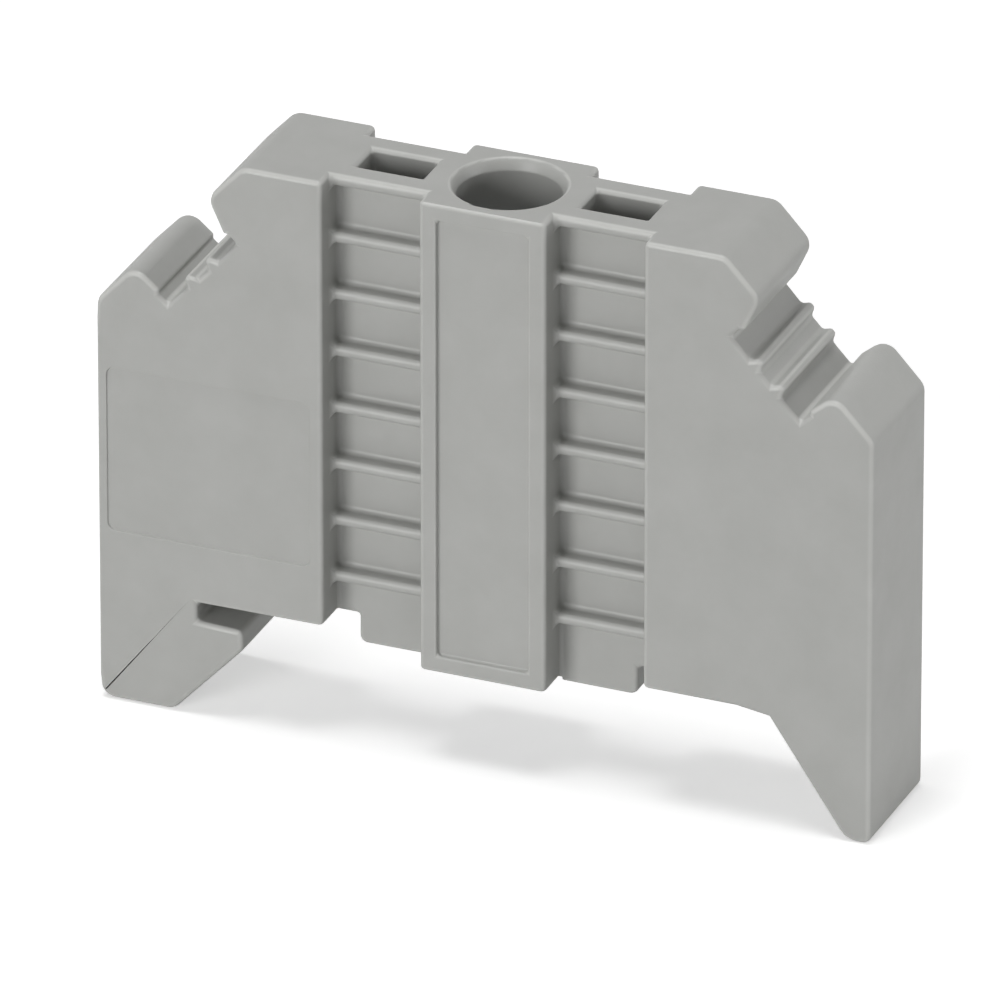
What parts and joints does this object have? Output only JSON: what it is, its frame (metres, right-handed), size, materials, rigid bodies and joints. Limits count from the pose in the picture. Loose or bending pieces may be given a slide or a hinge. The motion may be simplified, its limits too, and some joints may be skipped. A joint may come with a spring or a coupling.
{
  "type": "din rail end stop",
  "caption": "Screw-down plastic end stop that hooks on a top-hat mounting rail and keeps rail-mounted terminals from sliding.",
  "frame": {"origin": "on the clamping screw's axis, at mid-thickness, in the plane of the two seats that rest on the rail's lips", "axes": "+X across the rail towards the springing foot, +Y along the rail, +Z away from the rail along the screw's axis"},
  "size_m": [0.049, 0.0084, 0.0365],
  "materials": {
    "grey_polyamide": "fine matt moulded grey",
    "screw_steel": "bright zinc plated",
    "nut_steel": "zinc plated, duller than the screw"
  },
  "bodies": {
    "housing": {"housing": "grey_polyamide", "square_nut": "nut_steel"},
    "clamp_screw": {"clamp_screw": "screw_steel"}
  },
  "joints": [
    {"name": "screw_travel", "type": "slide", "parent": "housing", "child": "clamp_screw", "axis": [0, 0, 1], "range_m": [-0.0053, 0.003]}
  ]
}
